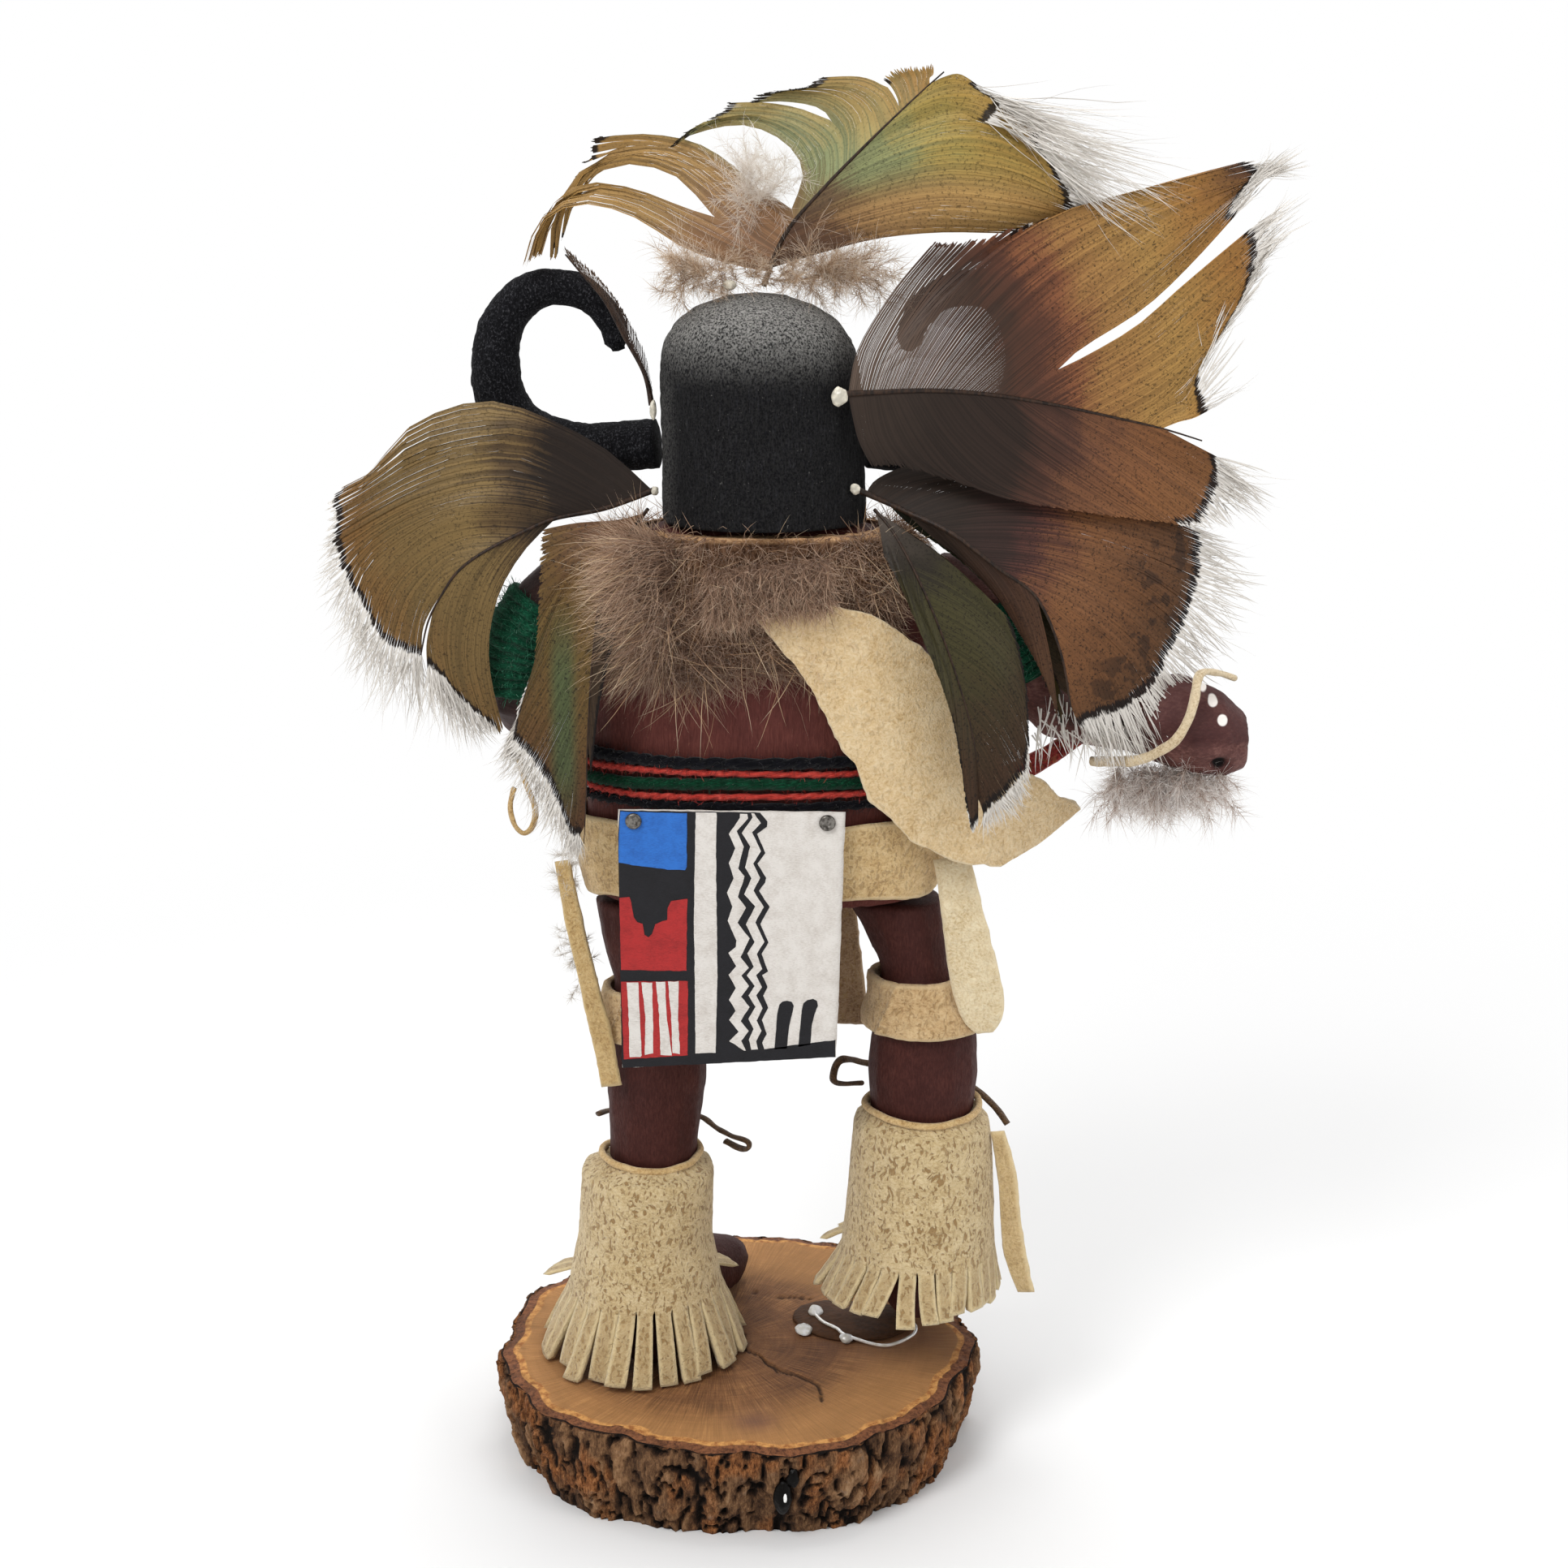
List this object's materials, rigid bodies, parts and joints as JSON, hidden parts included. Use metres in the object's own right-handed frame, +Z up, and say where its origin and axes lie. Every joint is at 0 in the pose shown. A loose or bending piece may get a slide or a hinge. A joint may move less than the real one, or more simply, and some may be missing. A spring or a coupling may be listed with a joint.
{
  "type": "kachina doll",
  "caption": "Carved and painted standing kachina doll with black horned mask, turkey feathers, fur collar, leather sash and fringed anklets on a wood slice.",
  "frame": {"origin": "centre of the wood slice's flat underside", "axes": "+Z up, +Y the way the figure faces, so its own right is at +X seen from behind"},
  "size_m": [0.1454, 0.0828, 0.2281],
  "materials": {
    "base_slice": "sawn wood with rough bark",
    "torso": "matt dark red-brown paint over carved wood",
    "leg_left": "matt dark red-brown paint",
    "leg_right": "matt dark red-brown paint",
    "arm_left": "matt dark red-brown paint",
    "arm_right": "matt dark red-brown paint",
    "mask": "matt black paint, brushed",
    "horn_left": "matt black, rough",
    "horn_right": "matt black, rough",
    "fur_collar": "rabbit fur on skin",
    "belt_black_upper": "wool yarn",
    "belt_red_upper": "wool yarn",
    "belt_green": "wool yarn",
    "belt_red_lower": "wool yarn",
    "belt_black_lower": "wool yarn",
    "sash_panel": "painted leather with blue, red and black pattern",
    "panel_pin_left": "dull pin head",
    "panel_pin_right": "dull pin head",
    "leather_sash": "cream suede",
    "hip_wrap": "cream suede",
    "front_flap": "grey-brown suede",
    "hanging_strip_left": "golden tan suede",
    "hanging_strip_right": "cream suede",
    "knee_band_left": "cream suede",
    "knee_band_right": "cream suede",
    "boot_left": "speckled tan suede, fringed",
    "boot_right": "speckled tan suede, fringed",
    "boot_tie": "tan suede strip",
    "red_strip": "red paint, turning brown",
    "leg_thong_left": "dark olive thong",
    "leg_thong_right": "dark olive thong",
    "arm_thong_left": "tan thong",
    "wrist_thong": "cream thong",
    "arm_yarn_left": "fluffy wool yarn",
    "arm_yarn_right": "fluffy wool yarn",
    "hand_fluff": "grey-white down",
    "crown_down": "cream and grey down",
    "glue_puddle": "set hot glue",
    "crown_feather": "iridescent turkey feather, gold and green",
    "feather_right_upper": "turkey feather, grey to copper and gold",
    "feather_right_middle": "turkey feather, brown to copper",
    "feather_right_under": "turkey feather, green and brown",
    "feather_right_lower": "turkey feather, dark green",
    "feather_left_upper": "turkey feather, seen on edge",
    "feather_left_middle": "turkey feather, olive and gold",
    "feather_left_lower": "turkey feather, brown and olive"
  },
  "bodies": {
    "root": {"base_slice": "base_slice", "torso": "torso", "leg_left": "leg_left", "leg_right": "leg_right", "arm_left": "arm_left", "arm_right": "arm_right", "mask": "mask", "horn_left": "horn_left", "horn_right": "horn_right", "fur_collar": "fur_collar", "belt_black_upper": "belt_black_upper", "belt_red_upper": "belt_red_upper", "belt_green": "belt_green", "belt_red_lower": "belt_red_lower", "belt_black_lower": "belt_black_lower", "sash_panel": "sash_panel", "panel_pin_left": "panel_pin_left", "panel_pin_right": "panel_pin_right", "leather_sash": "leather_sash", "hip_wrap": "hip_wrap", "front_flap": "front_flap", "hanging_strip_left": "hanging_strip_left", "hanging_strip_right": "hanging_strip_right", "knee_band_left": "knee_band_left", "knee_band_right": "knee_band_right", "boot_left": "boot_left", "boot_right": "boot_right", "boot_tie": "boot_tie", "red_strip": "red_strip", "leg_thong_left": "leg_thong_left", "leg_thong_right": "leg_thong_right", "arm_thong_left": "arm_thong_left", "wrist_thong": "wrist_thong", "arm_yarn_left": "arm_yarn_left", "arm_yarn_right": "arm_yarn_right", "hand_fluff": "hand_fluff", "crown_down": "crown_down", "glue_puddle": "glue_puddle", "crown_feather": "crown_feather", "feather_right_upper": "feather_right_upper", "feather_right_middle": "feather_right_middle", "feather_right_under": "feather_right_under", "feather_right_lower": "feather_right_lower", "feather_left_upper": "feather_left_upper", "feather_left_middle": "feather_left_middle", "feather_left_lower": "feather_left_lower"}
  },
  "joints": []
}
